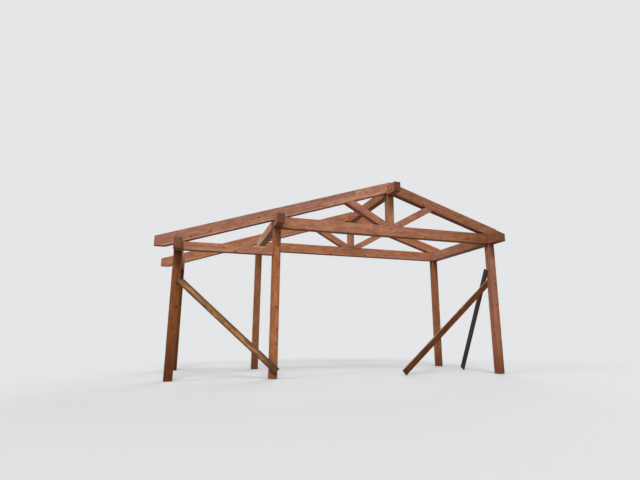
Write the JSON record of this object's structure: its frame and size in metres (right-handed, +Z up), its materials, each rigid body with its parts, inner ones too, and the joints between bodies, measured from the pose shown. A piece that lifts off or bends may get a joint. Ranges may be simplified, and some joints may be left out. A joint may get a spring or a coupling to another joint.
{
  "type": "porch canopy",
  "caption": "Open timber-frame porch canopy with a low-pitched gable truss, lower side bay, projecting beam ends and temporary diagonal brace planks.",
  "frame": {"origin": "centre of the overall footprint at floor level, where the posts stand", "axes": "+X to the right along the wall as seen from in front, +Y towards the wall behind, +Z up; the front looks towards -Y"},
  "size_m": [8.855, 3.454, 4.8573],
  "materials": {
    "frame_timber": "rough sawn reddish brown softwood",
    "pale_plank": "sawn golden brown plank",
    "red_plank": "sawn red brown plank",
    "weathered_plank": "weathered grey brown plank"
  },
  "bodies": {
    "root": {"front_left_post": "frame_timber", "front_middle_post": "frame_timber", "front_right_post": "frame_timber", "back_left_post": "frame_timber", "back_middle_post": "frame_timber", "back_right_post": "frame_timber", "left_eave_plate": "frame_timber", "middle_plate": "frame_timber", "right_eave_plate": "frame_timber", "ridge_beam": "frame_timber", "front_tie_beam": "frame_timber", "back_tie_beam": "frame_timber", "front_side_tie": "frame_timber", "front_king_post": "frame_timber", "back_king_post": "frame_timber", "front_left_strut": "frame_timber", "front_right_strut": "frame_timber", "back_left_strut": "frame_timber", "back_right_strut": "frame_timber", "front_left_rafter_lower": "frame_timber", "front_left_rafter_upper": "frame_timber", "front_right_rafter": "frame_timber", "back_left_rafter_lower": "frame_timber", "back_left_rafter_upper": "frame_timber", "back_right_rafter": "frame_timber", "left_brace_plank": "pale_plank", "right_brace_plank": "red_plank", "rear_prop_plank": "weathered_plank"}
  },
  "joints": []
}
